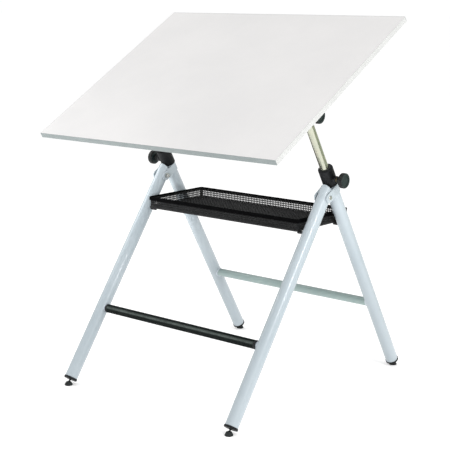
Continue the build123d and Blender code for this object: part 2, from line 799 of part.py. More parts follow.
def make_pegs(row, frame, lean):
    """Studs on the inner faces of a pair of legs; the tray's base frame rests on four of them."""
    rise = (PEG_Z - FOOT_Z) / cos(radians(lean))
    y = row * (FOOT_Y - rise * sin(radians(lean)))
    starts = [Plane(origin=(side * PEG_IN, y, PEG_Z), z_dir=(side, 0, 0)) for side, _ in SIDES]
    with BuildPart() as pegs:
        with BuildSketch(*starts):
            Circle(PEG_R)
        extrude(amount=LEG_X - PEG_IN - LEG_R / 2)
        chamfer(circles_within(pegs, PEG_IN + PEG_CHAMFER), PEG_CHAMFER)
        with BuildSketch(along(row, lean, rise - 4 * PEG_R)):
            with Locations((-LEG_X, 0), (LEG_X, 0)):
                Circle(LEG_R + TOUCH)
        extrude(amount=8 * PEG_R, mode=Mode.SUBTRACT)
    save(pegs, f"{frame}_tray_pegs")


# ---------------------------------------------------------------- build everything
make_crossbar()
make_footrest()
make_fold_pivots()
make_collar_inserts()
make_tilt_bolts()
make_board()
make_board_screws()
make_tray()
for row, frame, lean in FRAMES:
    make_pegs(row, frame, lean)
    for side, hand in SIDES:
        make_foot_cap(row, frame, lean, side, hand)
        make_foot_screw(row, frame, lean, side, hand)
        make_foot_pad(row, frame, side, hand)
for side, hand in SIDES:
    make_rear_leg(side, hand)
    make_front_leg(side, hand)
    make_front_leg_plug(side, hand)
    make_hinge_bracket(side, hand)
    make_post(side, hand)
    make_collar(side, hand)
    make_collar_knob(side, hand)
    make_tilt_knob(side, hand)
    make_board_rail(side, hand)
    make_tilt_bracket(side, hand)
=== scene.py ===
import json
import math

import bpy
import numpy as np
from mathutils import Matrix, Vector


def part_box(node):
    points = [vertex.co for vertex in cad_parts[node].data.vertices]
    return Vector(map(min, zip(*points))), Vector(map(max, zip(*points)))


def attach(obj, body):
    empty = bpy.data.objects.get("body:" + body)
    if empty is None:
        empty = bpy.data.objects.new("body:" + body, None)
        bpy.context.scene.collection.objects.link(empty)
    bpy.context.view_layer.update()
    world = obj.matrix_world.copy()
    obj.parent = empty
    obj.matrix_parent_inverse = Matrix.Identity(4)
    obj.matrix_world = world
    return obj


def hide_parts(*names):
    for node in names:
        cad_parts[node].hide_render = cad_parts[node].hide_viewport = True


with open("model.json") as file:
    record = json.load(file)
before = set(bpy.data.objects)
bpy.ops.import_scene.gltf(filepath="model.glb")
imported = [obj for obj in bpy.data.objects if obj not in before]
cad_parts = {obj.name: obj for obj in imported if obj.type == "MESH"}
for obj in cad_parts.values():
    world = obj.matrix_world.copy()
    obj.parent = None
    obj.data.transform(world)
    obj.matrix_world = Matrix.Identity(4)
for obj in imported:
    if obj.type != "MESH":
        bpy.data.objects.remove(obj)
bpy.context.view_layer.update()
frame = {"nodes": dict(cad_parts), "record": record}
nodes = frame["nodes"]
SIDES = ((-1, "left"), (1, "right"))

# ---------------------------------------------------------------- geometry taken from the frame
LEG_X = 0.348
LEG_R = 0.021
REAR_LEAN = math.radians(30.5)
FRONT_LEAN = math.radians(35.33)
FOOT_Y = 0.445
FOOT_Z = 0.0075
REAR_UP = Vector((0, -math.sin(REAR_LEAN), math.cos(REAR_LEAN)))
REAR_BACK = Vector((0, math.cos(REAR_LEAN), math.sin(REAR_LEAN)))
FRONT_UP = Vector((0, math.sin(FRONT_LEAN), math.cos(FRONT_LEAN)))
FRONT_BACK = Vector((0, math.cos(FRONT_LEAN), -math.sin(FRONT_LEAN)))
REAR_BASE = Vector((0, FOOT_Y, FOOT_Z))
FRONT_BASE = Vector((0, -FOOT_Y, FOOT_Z))


def rear_point(x, v, s):
    return Vector((x, 0, 0)) + REAR_BASE + REAR_BACK * v + REAR_UP * s


def front_point(x, v, s):
    return Vector((x, 0, 0)) + FRONT_BASE + FRONT_BACK * v + FRONT_UP * s


# ---------------------------------------------------------------- materials
class Graph:
    """Small helper for building a node tree from left to right."""

    def __init__(self, name):
        self.mat = bpy.data.materials.new(name)
        self.mat.use_nodes = True
        self.tree = self.mat.node_tree
        self.bsdf = self.tree.nodes["Principled BSDF"]
        coords = self.tree.nodes.new("ShaderNodeTexCoord")
        self.coords = coords.outputs["Object"]
        self.generated = coords.outputs["Generated"]
        self.normal = coords.outputs["Normal"]

    def link(self, a, b):
        self.tree.links.new(a, b)

    def set(self, socket, value):
        if hasattr(value, "links"):
            self.link(value, socket)
        else:
            socket.default_value = value

    def mapped(self, scale, rotation=(0, 0, 0)):
        node = self.tree.nodes.new("ShaderNodeMapping")
        node.inputs["Scale"].default_value = scale
        node.inputs["Rotation"].default_value = rotation
        self.link(self.coords, node.inputs["Vector"])
        return node.outputs["Vector"]

    def noise(self, scale, detail=3.0, roughness=0.55, stretch=None, rotation=(0, 0, 0), distortion=0.0):
        node = self.tree.nodes.new("ShaderNodeTexNoise")
        node.inputs["Scale"].default_value = scale
        node.inputs["Detail"].default_value = detail
        node.inputs["Roughness"].default_value = roughness
        node.inputs["Distortion"].default_value = distortion
        vector = self.mapped(stretch, rotation) if stretch else self.coords
        self.link(vector, node.inputs["Vector"])
        return node.outputs["Fac"]

    def voronoi(self, scale, feature="F1", stretch=None):
        node = self.tree.nodes.new("ShaderNodeTexVoronoi")
        node.feature = feature
        node.inputs["Scale"].default_value = scale
        vector = self.mapped(stretch) if stretch else self.coords
        self.link(vector, node.inputs["Vector"])
        return node.outputs["Distance"]

    def wave(self, scale, direction, distortion=0.0):
        node = self.tree.nodes.new("ShaderNodeTexWave")
        node.bands_direction = direction
        node.inputs["Scale"].default_value = scale
        node.inputs["Distortion"].default_value = distortion
        self.link(self.coords, node.inputs["Vector"])
        return node.outputs["Fac"]

    def ramp(self, value, low, high, to_low=0.0, to_high=1.0):
        node = self.tree.nodes.new("ShaderNodeMapRange")
        node.interpolation_type = "SMOOTHSTEP"
        for name, number in (("From Min", low), ("From Max", high), ("To Min", to_low), ("To Max", to_high)):
            node.inputs[name].default_value = number
        self.link(value, node.inputs["Value"])
        return node.outputs["Result"]

    def math(self, kind, a, b):
        node = self.tree.nodes.new("ShaderNodeMath")
        node.operation = kind
        self.set(node.inputs[0], a)
        self.set(node.inputs[1], b)
        return node.outputs["Value"]

    def mix(self, factor, a, b):
        node = self.tree.nodes.new("ShaderNodeMix")
        node.data_type = "RGBA"
        self.set(node.inputs["Factor"], factor)
        self.set(node.inputs["A"], a if hasattr(a, "links") else (*a, 1.0))
        self.set(node.inputs["B"], b if hasattr(b, "links") else (*b, 1.0))
        return node.outputs["Result"]

    def pointiness(self, low, high):
        node = self.tree.nodes.new("ShaderNodeNewGeometry")
        return self.ramp(node.outputs["Pointiness"], low, high)

    def height(self, axis="Z"):
        node = self.tree.nodes.new("ShaderNodeSeparateXYZ")
        self.link(self.coords, node.inputs["Vector"])
        return node.outputs[axis]

    def bump(self, *layers):
        """Layers of (height output, strength, distance in metres), laid over one another."""
        normal = None
        for height, strength, distance in layers:
            node = self.tree.nodes.new("ShaderNodeBump")
            node.inputs["Strength"].default_value = strength
            node.inputs["Distance"].default_value = distance
            self.link(height, node.inputs["Height"])
            if normal:
                self.link(normal, node.inputs["Normal"])
            normal = node.outputs["Normal"]
        self.link(normal, self.bsdf.inputs["Normal"])

    def finish(self, color, roughness, metallic=0.0, coat=0.0, coat_roughness=0.2, specular=0.5):
        self.set(self.bsdf.inputs["Base Color"], color)
        self.set(self.bsdf.inputs["Roughness"], roughness)
        self.set(self.bsdf.inputs["Metallic"], metallic)
        self.set(self.bsdf.inputs["Coat Weight"], coat)
        self.set(self.bsdf.inputs["Coat Roughness"], coat_roughness)
        self.set(self.bsdf.inputs["Specular IOR Level"], specular)
        return self.mat


def powder_coat(name, color, shade, coat=0.35, rough=(0.3, 0.42)):
    """Sprayed enamel: slow colour drift, fine orange peel, a little scuffing and dust."""
    g = Graph(name)
    drift = g.ramp(g.noise(5, 4), 0.35, 0.7)
    base = g.mix(drift, color, shade)
    specks = g.ramp(g.noise(520, 2, 0.7), 0.66, 0.8, 0.0, 0.35)
    base = g.mix(specks, base, tuple(c * 0.72 for c in shade))
    scuffs = g.ramp(g.noise(38, 6, 0.75, (1, 1, 0.22), distortion=0.8), 0.62, 0.78, 0.0, 0.3)
    base = g.mix(scuffs, base, tuple(min(1.0, c * 1.12) for c in color))
    roughness = g.ramp(g.noise(60, 4), 0.3, 0.7, rough[0], rough[1])
    g.bump((g.noise(240, 2), 0.22, 0.0006), (g.noise(1500, 2), 0.12, 0.0002))
    return g.finish(base, roughness, coat=coat, coat_roughness=0.12)


def melamine():
    """White melamine face: print drift, faint speckle and a fine pearl texture."""
    g = Graph("melamine_face")
    drift = g.ramp(g.noise(3.5, 5, 0.6), 0.3, 0.7)
    base = g.mix(drift, (0.715, 0.705, 0.70), (0.685, 0.677, 0.674))
    flecks = g.ramp(g.noise(640, 3, 0.7), 0.6, 0.72, 0.0, 0.16)
    base = g.mix(flecks, base, (0.62, 0.62, 0.63))
    lines = g.ramp(g.noise(26, 7, 0.8, (1, 0.09, 0.09), (0, 0, 0.35)), 0.69, 0.73, 0.0, 0.1)
    base = g.mix(lines, base, (0.66, 0.66, 0.67))
    roughness = g.ramp(g.noise(30, 4), 0.3, 0.7, 0.34, 0.46)
    g.bump((g.noise(1300, 3, 0.6), 0.22, 0.0004), (g.noise(260, 2), 0.08, 0.0005))
    return g.finish(base, roughness, coat=0.1, coat_roughness=0.3)


def edging(name, color, shade, streak):
    """Satin plastic edging strip with fine lengthwise drawing marks."""
    g = Graph(name)
    drift = g.ramp(g.noise(22, 4), 0.35, 0.68)
    base = g.mix(drift, color, shade)
    streaks = g.ramp(g.noise(90, 4, 0.7, (0.05, 1, 8)), 0.5, 0.72, 0.0, 0.3)
    base = g.mix(streaks, base, streak)
    roughness = g.ramp(g.noise(80, 3), 0.3, 0.7, 0.36, 0.5)
    g.bump((g.noise(700, 2, 0.6, (0.2, 1, 1)), 0.2, 0.0003))
    return g.finish(base, roughness)


def zinc():
    """Yellow-passivated zinc plating with drifting iridescence and drawn streaks."""
    g = Graph("zinc_plating")
    drift = g.ramp(g.noise(16, 4, 0.6), 0.38, 0.62)
    base = g.mix(drift, (0.56, 0.56, 0.45), (0.51, 0.53, 0.43))
    tint = g.ramp(g.noise(34, 5, 0.65, distortion=1.2), 0.52, 0.7, 0.0, 0.4)
    base = g.mix(tint, base, (0.57, 0.51, 0.41))
    streaks = g.ramp(g.noise(260, 4, 0.7, (1, 1, 0.05), (-REAR_LEAN, 0, 0)), 0.45, 0.7, 0.0, 0.3)
    base = g.mix(streaks, base, (0.48, 0.50, 0.42))
    roughness = g.ramp(g.noise(120, 4, 0.6, (1, 1, 0.1), (-REAR_LEAN, 0, 0)), 0.3, 0.7, 0.14, 0.24)
    g.bump((g.noise(900, 3, 0.6, (1, 1, 0.06), (-REAR_LEAN, 0, 0)), 0.25, 0.0002))
    return g.finish(base, roughness, metallic=1.0)


def steel(name, color, dark, rough=(0.22, 0.4)):
    """Bright plated hardware: clouded plating, turning marks and darker spots."""
    g = Graph(name)
    clouds = g.ramp(g.noise(140, 5, 0.65), 0.35, 0.7)
    base = g.mix(clouds, color, dark)
    spots = g.ramp(g.noise(900, 2, 0.7), 0.63, 0.75, 0.0, 0.4)
    base = g.mix(spots, base, tuple(c * 0.5 for c in dark))
    roughness = g.ramp(g.noise(400, 3), 0.3, 0.7, rough[0], rough[1])
    g.bump((g.noise(1600, 3, 0.6, (4, 1, 1)), 0.25, 0.00015))
    return g.finish(base, roughness, metallic=1.0)


def plastic(name, color, edge, specular, grain=900, rough=(0.36, 0.52)):
    """Moulded black plastic: spark-eroded grain, worn edges, a little dust."""
    g = Graph(name)
    base = g.mix(g.ramp(g.noise(70, 4), 0.35, 0.7), color, tuple(c * 1.5 for c in color))
    base = g.mix(g.math("MULTIPLY", g.pointiness(0.515, 0.58), 0.55), base, edge)
    dust = g.ramp(g.noise(180, 6, 0.75), 0.58, 0.8, 0.0, 0.1)
    base = g.mix(dust, base, (0.12, 0.12, 0.12))
    roughness = g.ramp(g.noise(150, 4), 0.3, 0.7, rough[0], rough[1])
    g.bump((g.voronoi(grain), 0.3, 0.0003), (g.noise(grain * 2.5, 2), 0.2, 0.0002))
    return g.finish(base, roughness, specular=specular)


def rubber(name, color, rough=(0.6, 0.78)):
    """Moulded rubber: bloom and dust on a matt black ground."""
    g = Graph(name)
    bloom = g.ramp(g.noise(48, 5, 0.65), 0.38, 0.72, 0.0, 0.5)
    base = g.mix(bloom, color, tuple(c * 2.3 for c in color))
    dust = g.ramp(g.noise(420, 4, 0.75), 0.56, 0.76, 0.0, 0.22)
    base = g.mix(dust, base, (0.19, 0.195, 0.19))
    roughness = g.ramp(g.noise(210, 4), 0.3, 0.7, rough[0], rough[1])
    g.bump((g.noise(1200, 3, 0.7), 0.35, 0.0003))
    return g.finish(base, roughness, specular=0.25)


def sleeve_rubber():
    """Ribbed black rubber with a painted grey-green highlight band along its forward upper side, and a painted dark
    reflection line below that.
    """
    g = Graph("sleeve_rubber")
    spread = g.tree.nodes.new("ShaderNodeSeparateXYZ")
    g.link(g.generated, spread.inputs["Vector"])
    back_out = g.math("SUBTRACT", spread.outputs["Y"], 0.5)
    up_out = g.math("SUBTRACT", spread.outputs["Z"], 0.5)

    def facing(rise):
        """1 where the surface points forward and upward at this angle, 0 at right angles to it."""
        forward = g.math("MULTIPLY", back_out, -2 * math.cos(math.radians(rise)))
        return g.math("ADD", forward, g.math("MULTIPLY", up_out, 2 * math.sin(math.radians(rise))))

    base = g.mix(g.ramp(g.noise(70, 4), 0.35, 0.7), (0.004, 0.0065, 0.006), (0.007, 0.0105, 0.0095))
    # noise that breaks up the painted highlight band along the sleeve
    wear_and_sheen_mask = g.ramp(g.noise(46, 5, 0.7, (0.6, 1, 1), distortion=0.6), 0.3, 0.62, 0.45, 1.0)
    # painted highlight: grey-green where the sleeve faces forward and 30 degrees up, standing in for reflected
    # studio light
    painted_highlight_band = g.math("MULTIPLY", g.ramp(facing(30), 0.9, 0.985), wear_and_sheen_mask)
    base = g.mix(painted_highlight_band, base, (0.115, 0.138, 0.128))
    # painted reflection: a near-black line where the sleeve faces forward and 5 degrees up, standing in for a dark
    # reflected band
    base = g.mix(g.ramp(facing(5), 0.99, 0.998), base, (0.001, 0.0012, 0.0012))
    roughness = g.ramp(g.noise(150, 4), 0.3, 0.7, 0.4, 0.55)
    g.bump((g.noise(1200, 3, 0.7), 0.3, 0.0003))
    return g.finish(base, roughness, specular=0.08)


def knob_plastic():
    """Moulded black plastic with a painted sheen: the flat faces that point along X are coloured paler than the
    sides.
    """
    g = Graph("knob_moulding")
    spread = g.tree.nodes.new("ShaderNodeSeparateXYZ")
    g.link(g.normal, spread.inputs["Vector"])
    # painted sheen: surfaces facing along X get a paler teal colour, standing in for light reflected off the knob
    # face
    face = g.ramp(g.math("ABSOLUTE", spread.outputs["X"], 0.0), 0.9, 0.985)
    side = g.mix(g.ramp(g.noise(70, 4), 0.35, 0.7), (0.004, 0.005, 0.005), (0.006, 0.0075, 0.0075))
    painted_face_sheen = g.mix(g.ramp(g.noise(110, 5, 0.7), 0.35, 0.7), (0.010, 0.017, 0.017), (0.016, 0.025, 0.025))
    base = g.mix(face, side, painted_face_sheen)
    roughness = g.ramp(g.noise(150, 4), 0.3, 0.7, 0.34, 0.48)
    g.bump((g.voronoi(900), 0.3, 0.0003), (g.noise(2250, 2), 0.2, 0.0002))
    return g.finish(base, roughness, specular=0.3)


def enamel_black(name, color, shade, specular):
    """Dipped black enamel on wire and sheet: thin satin skin with small runs."""
    g = Graph(name)
    base = g.mix(g.ramp(g.noise(90, 4), 0.35, 0.7), color, shade)
    wear_and_sheen_mask = g.ramp(g.noise(330, 5, 0.75), 0.66, 0.8, 0.0, 0.12)
    base = g.mix(wear_and_sheen_mask, base, (0.04, 0.04, 0.04))
    roughness = g.ramp(g.noise(260, 3), 0.3, 0.7, 0.45, 0.6)
    g.bump((g.noise(600, 3), 0.3, 0.0003))
    return g.finish(base, roughness, specular=specular)


def brass():
    g = Graph("turned_brass")
    base = g.mix(g.ramp(g.noise(160, 4), 0.35, 0.7), (0.72, 0.55, 0.25), (0.56, 0.42, 0.2))
    roughness = g.ramp(g.noise(500, 3), 0.3, 0.7, 0.24, 0.4)
    g.bump((g.noise(1400, 2, 0.5, (5, 1, 1)), 0.2, 0.0002))
    return g.finish(base, roughness, metallic=1.0)


def nylon():
    g = Graph("natural_nylon")
    base = g.mix(g.ramp(g.noise(120, 4), 0.35, 0.7), (0.78, 0.77, 0.71), (0.7, 0.69, 0.62))
    g.bump((g.noise(800, 3), 0.2, 0.0003))
    return g.finish(base, g.ramp(g.noise(200, 3), 0.3, 0.7, 0.35, 0.5))


leg_paint = powder_coat("leg_powder_coat", (0.362, 0.412, 0.444), (0.334, 0.387, 0.42), coat=0.45)
bar_paint = powder_coat("crossbar_powder_coat", (0.275, 0.36, 0.348), (0.246, 0.32, 0.31))
under_paint = powder_coat("under_powder_coat", (0.50, 0.53, 0.57), (0.45, 0.48, 0.52))
weld_paint = powder_coat("weld_powder_coat", (0.56, 0.61, 0.67), (0.50, 0.55, 0.62), coat=0.5)
MATERIALS = {
    "leg_paint": leg_paint,
    "crossbar_paint": bar_paint,
    "zinc_posts": zinc(),
    "black_plastic": plastic("black_moulding", (0.004, 0.0045, 0.005), (0.04, 0.042, 0.044), 0.14),
    "black_rubber": rubber("black_rubber", (0.013, 0.0155, 0.0155)),
    "bright_steel": steel("plated_steel", (0.66, 0.67, 0.65), (0.52, 0.54, 0.52), (0.32, 0.5)),
    # painted shade: the foot screws' steel is coloured near-black, standing in for the shade between foot cap and
    # pad
    "black_steel": steel("dark_screw_steel_painted_shade", (0.05, 0.052, 0.055), (0.03, 0.032, 0.034), (0.32, 0.5)),
    "bar_steel": leg_paint,
    "brass": brass(),
    "nylon": nylon(),
    "melamine_board": melamine(),
    # painted shade: this copy of the edging, used on the front and rear bands, is darkened
    "edging": edging("edging_strip", (0.235, 0.268, 0.268), (0.213, 0.245, 0.245), (0.188, 0.212, 0.212)),
    "under_steel": under_paint,
    "tray_black": enamel_black("tray_enamel", (0.011, 0.0115, 0.012), (0.018, 0.0185, 0.019), 0.22),
}
SLOT_OF = {part["node"]: part["material_slot"] for part in frame["record"]["subparts"]}
KNOB_PLASTIC = knob_plastic()
# lighter copy of the same edging for the side bands; the front and rear copy is the darkened, painted-shade one
SIDE_EDGING_LIT_COPY = edging("side_edging_lit_copy", (0.48, 0.485, 0.48), (0.45, 0.455, 0.45), (0.41, 0.415, 0.41))
# the rim is black enamel like the mesh; this copy is made much darker and less glossy as painted shade
RIM_ENAMEL_PAINTED_SHADE = enamel_black("rim_enamel_painted_shade", (0.001, 0.001, 0.0012), (0.002, 0.002, 0.0023), 0.02)
OWN_MATERIAL = {
    "footrest_sleeve": sleeve_rubber(),
    "tray_rim": RIM_ENAMEL_PAINTED_SHADE,
    "front_tray_pegs": MATERIALS["tray_black"],
    "rear_tray_pegs": MATERIALS["tray_black"],
    "collar_knob_left": KNOB_PLASTIC,
    "collar_knob_right": KNOB_PLASTIC,
    "tilt_knob_left": KNOB_PLASTIC,
    "tilt_knob_right": KNOB_PLASTIC,
    "edge_band_left": SIDE_EDGING_LIT_COPY,
    "edge_band_right": SIDE_EDGING_LIT_COPY,
}
for node_name, node in nodes.items():
    material = OWN_MATERIAL.get(node_name, MATERIALS[SLOT_OF[node_name]])
    if node.material_slots:
        for material_slot in node.material_slots:
            material_slot.material = material
    else:
        node.data.materials.append(material)


def soften(names, width, segments=2):
    """Rounds the hard edges of carried-over nodes, as paint and moulding do."""
    for name in names:
        bevel = nodes[name].modifiers.new("edge", "BEVEL")
        bevel.width = width
        bevel.segments = segments
        bevel.limit_method = "ANGLE"
        bevel.angle_limit = math.radians(35)


# ---------------------------------------------------------------- mesh helpers
def new_piece(name, verts, faces, material, body, smooth=True):
    mesh = bpy.data.meshes.new(name)
    mesh.from_pydata([tuple(v) for v in verts], [], [tuple(f) for f in faces])
    mesh.materials.append(material)
    if smooth:
        mesh.shade_smooth()
    piece = bpy.data.objects.new(name, mesh)
    bpy.context.scene.collection.objects.link(piece)
    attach(piece, body)
    return piece


def sweep(points, radii, sides=8, closed=False):
    """Tube along a path of points: vertex rings carried from one point to the next."""
    points = np.asarray(points, float)
    count = len(points)
    radii = np.broadcast_to(np.asarray(radii, float), (count,))
    if closed:
        tangents = np.roll(points, -1, 0) - np.roll(points, 1, 0)
    else:
        tangents = np.gradient(points, axis=0)
    tangents /= np.linalg.norm(tangents, axis=1)[:, None]
    guide = np.array((0, 0, 1.0)) if abs(tangents[0][2]) < 0.9 else np.array((1.0, 0, 0))
    normal = np.cross(tangents[0], guide)
    normal /= np.linalg.norm(normal)
    rings = np.empty((count, sides, 3))
    angles = np.linspace(0, 2 * math.pi, sides, endpoint=False)
    for i in range(count):
        normal = normal - tangents[i] * normal.dot(tangents[i])
        normal /= np.linalg.norm(normal)
        other = np.cross(tangents[i], normal)
        ring = np.cos(angles)[:, None] * normal + np.sin(angles)[:, None] * other
        rings[i] = points[i] + radii[i] * ring
    steps = count if closed else count - 1
    faces = []
    for i in range(steps):
        j = (i + 1) % count
        for k in range(sides):
            m = (k + 1) % sides
            faces.append((i * sides + k, i * sides + m, j * sides + m, j * sides + k))
    if not closed:
        faces.append(tuple(range(sides - 1, -1, -1)))
        faces.append(tuple((count - 1) * sides + k for k in range(sides)))
    return rings.reshape(-1, 3), faces


def merged(parts):
    verts, faces, start = [], [], 0
    for part_verts, part_faces in parts:
        verts.extend(part_verts)
        faces.extend(tuple(i + start for i in face) for face in part_faces)
        start += len(part_verts)
    return verts, faces


# ---------------------------------------------------------------- wire-mesh tray
low, high = (Vector(c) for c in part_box("tray_basket"))
TRAY_HALF = high.x
TRAY_FRONT, TRAY_REAR = low.y, high.y
TRAY_FLOOR = low.z
TRAY_TOP = high.z
CORNER = 0.00478
WIRE_R = 0.00175
PITCH = 0.0070
BEND = 0.0025
INSET = 1.85 * WIRE_R  # upright wires, inside the horizontal ones


def edge_reach(offset, half_here, corner):
    """How far the rounded outline reaches at a given distance from its middle line."""
    inside = half_here - corner
    if offset <= inside:
        return 0.0
    return corner - math.sqrt(max(0.0, corner**2 - (offset - inside) ** 2))


def trough(start, end, phase, along_x, fixed):
    """One wire: up the near wall, across the floor and up the far wall, weaving over and under."""
    floor = TRAY_FLOOR + 1.95 * WIRE_R
    rows = max(2, int((TRAY_TOP - floor - BEND) / (PITCH / 2)))
    path = [(start, TRAY_TOP - 0.001 - i * (TRAY_TOP - 0.001 - floor - BEND) / rows) for i in range(rows)]
    path += [(start, floor + BEND), (start + 0.29 * BEND, floor + 0.29 * BEND), (start + BEND, floor)]
    cells = max(2, int((end - start - 2 * BEND) / (PITCH / 2)))
    path += [(start + BEND + i * (end - start - 2 * BEND) / cells, floor) for i in range(1, cells)]
    path += [(end - BEND, floor), (end - 0.29 * BEND, floor + 0.29 * BEND), (end, floor + BEND)]
    path += [(end, floor + BEND + i * (TRAY_TOP - 0.001 - floor - BEND) / rows) for i in range(1, rows + 1)]
    points = []
    for i, (run, z) in enumerate(path):
        lift = WIRE_R * 0.9 * math.cos(math.pi * i / 2 + phase) if z <= floor + 1e-6 else 0.0
        points.append((run, fixed, z + lift) if along_x else (fixed, run, z + lift))
    return points


def wall_loop(z, inset):
    """A horizontal wire round the walls."""
    half = TRAY_HALF - inset
    front, rear = TRAY_FRONT + inset, TRAY_REAR - inset
    corner = CORNER - inset
    points = []
    for cx, cy, start in (
        (half - corner, rear - corner, 0),
        (-half + corner, rear - corner, 90),
        (-half + corner, front + corner, 180),
        (half - corner, front + corner, 270),
    ):
        for step in range(7):
            angle = math.radians(start + 15 * step)
            points.append((cx + corner * math.cos(angle), cy + corner * math.sin(angle), z))
    return points


wires = []
mid_y = (TRAY_FRONT + TRAY_REAR) / 2
half_y = (TRAY_REAR - TRAY_FRONT) / 2
count = int(2 * (TRAY_HALF - INSET) / PITCH)
for i in range(count + 1):
    x = -TRAY_HALF + INSET + i * 2 * (TRAY_HALF - INSET) / count
    pull = INSET + edge_reach(abs(x), TRAY_HALF - INSET, CORNER)
    if half_y - pull > 0.04:
        line = trough(TRAY_FRONT + pull, TRAY_REAR - pull, math.pi * (i % 2), False, x)
        wires.append(sweep(line, WIRE_R, 5))
count = int(2 * (half_y - INSET) / PITCH)
for i in range(count + 1):
    y = mid_y - half_y + INSET + i * 2 * (half_y - INSET) / count
    pull = INSET + edge_reach(abs(y - mid_y), half_y - INSET, CORNER)
    line = trough(-TRAY_HALF + pull, TRAY_HALF - pull, math.pi * ((i + 1) % 2), True, y)
    wires.append(sweep(line, WIRE_R, 5))
rows = int((TRAY_TOP - TRAY_FLOOR) / PITCH)
for z in [TRAY_FLOOR + 2 * WIRE_R] + [TRAY_FLOOR + i * PITCH for i in range(1, rows + 1)]:
    if z < TRAY_TOP - 0.001:
        wires.append(sweep(wall_loop(z, INSET - WIRE_R * 0.8), WIRE_R, 5, closed=True))
corner_x = TRAY_HALF - CORNER + (CORNER - INSET) * math.sqrt(0.5)
corner_y = half_y - CORNER + (CORNER - INSET) * math.sqrt(0.5)
for across in (-1, 1):
    for deep in (-1, 1):
        x, y = across * corner_x, mid_y + deep * corner_y
        post = [(x, y, TRAY_TOP - 0.001), (x, y, (TRAY_TOP + TRAY_FLOOR) / 2), (x, y, TRAY_FLOOR + 1.95 * WIRE_R)]
        wires.append(sweep(post, WIRE_R, 5))
verts, faces = merged(wires)
mesh_piece = new_piece("tray_wire_mesh", verts, faces, MATERIALS["tray_black"], "tray")
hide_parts("tray_basket")


# ---------------------------------------------------------------- weld beads
def bead(name, centre, axis_v, axis_s, radius, side, body, size=0.0021):
    """Weld round the end of a bar where it meets the inner face of a leg."""
    points, radii = [], []
    steps = 72
    for i in range(steps):
        a = 2 * math.pi * i / steps
        v = radius * math.cos(a)
        s = radius * math.sin(a)
        x = side * (LEG_X - math.sqrt(LEG_R**2 - v**2) - 0.0003)
        points.append(Vector((x, 0, 0)) + centre + axis_v * v + axis_s * s)
        radii.append(size * (1 + 0.16 * math.sin(i * 2 * math.pi * 9 / 24)))
    verts, faces = sweep(points, radii, 8, closed=True)
    return new_piece(name, verts, faces, weld_paint, body)


CROSSBAR_S = 0.2838
FOOTREST_S = 0.2776
for side, hand in SIDES:
    bead(f"crossbar_weld_{hand}", rear_point(0, 0, CROSSBAR_S), REAR_BACK, REAR_UP, 0.0142, side, "rear_frame")
    bead(f"footrest_weld_{hand}", front_point(0, 0, FOOTREST_S), FRONT_BACK, FRONT_UP, 0.0113, side, "front_frame")


def ring_on_leg(name, side, s, span, body, size=0.0013):
    """Weld bead along the edge of the hinge strap, round the back of a rear leg."""
    points, radii = [], []
    steps = 40
    for i in range(steps + 1):
        a = math.radians(-span + 2 * span * i / steps)
        points.append(rear_point(side * LEG_X + 0.0226 * math.sin(a), 0.0226 * math.cos(a), s))
        radii.append(size * (1 + 0.18 * math.sin(i * 2.1)) * (0.55 if i in (0, steps) else 1))
    verts, faces = sweep(points, radii, 8)
    return new_piece(name, verts, faces, weld_paint, body)


for side, hand in SIDES:
    ring_on_leg(f"strap_weld_low_{hand}", side, 0.7593, 80, "rear_frame")


# ---------------------------------------------------------------- screw threads
def thread(name, start, end, radius, body, material, pitch=0.00125, size=0.00042):
    """Raised thread wound round a screw from start to end."""
    start, end = Vector(start), Vector(end)
    axis = (end - start).normalized()
    side_axis = axis.orthogonal().normalized()
    other = axis.cross(side_axis)
    turns = (end - start).length / pitch
    steps = int(turns * 18)
    points, radii = [], []
    for i in range(steps + 1):
        a = 2 * math.pi * turns * i / steps
        along = axis * ((end - start).length * i / steps)
        points.append(start + along + (side_axis * math.cos(a) + other * math.sin(a)) * radius)
        radii.append(size * (0.3 if i in (0, steps) else 1))
    verts, faces = sweep(points, radii, 6)
    return new_piece(name, verts, faces, material, body)


bright = MATERIALS["bright_steel"]
# the foot-screw threads below take that near-black steel, painted shade
black = MATERIALS["black_steel"]
for side, hand in SIDES:
    x = side * LEG_X
    thread(
        f"front_foot_thread_{hand}", front_point(x, 0, 0.0102), front_point(x, 0, 0.0235), 0.0039,
        f"front_foot_screw_{hand}", black,
    )
    thread(
        f"rear_foot_thread_{hand}", rear_point(x, 0, 0.0102), rear_point(x, 0, 0.0235), 0.0039,
        f"rear_foot_screw_{hand}", black,
    )
    knob_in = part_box(f"collar_knob_{hand}")
    inner = min(abs(knob_in[0][0]), abs(knob_in[1][0]))
    thread(
        f"clamp_thread_{hand}",
        rear_point(side * (LEG_X + 0.0332), 0, 0.811), rear_point(side * (inner - 0.0003), 0, 0.811), 0.0039,
        f"collar_knob_{hand}", bright,
    )

# ---------------------------------------------------------------- softened edges on carried-over nodes
for hand in ("left", "right"):
    soften([f"hinge_bracket_{hand}", f"tilt_bracket_{hand}", f"board_rail_{hand}"], 0.0007)
    soften([f"collar_knob_{hand}", f"tilt_knob_{hand}"], 0.0005)
    soften([f"edge_band_{hand}"], 0.0004)
soften(["edge_band_front", "edge_band_rear"], 0.0004)


# ---------------------------------------------------------------- stage, light and camera
def plain(name, color, rough, glow):
    g = Graph(name)
    base = g.mix(g.ramp(g.noise(2, 3), 0.3, 0.7), color, tuple(c * 0.985 for c in color))
    g.bsdf.inputs["Emission Color"].default_value = (1.0, 1.0, 1.0, 1.0)
    g.bsdf.inputs["Emission Strength"].default_value = glow
    return g.finish(base, rough, specular=0.0)


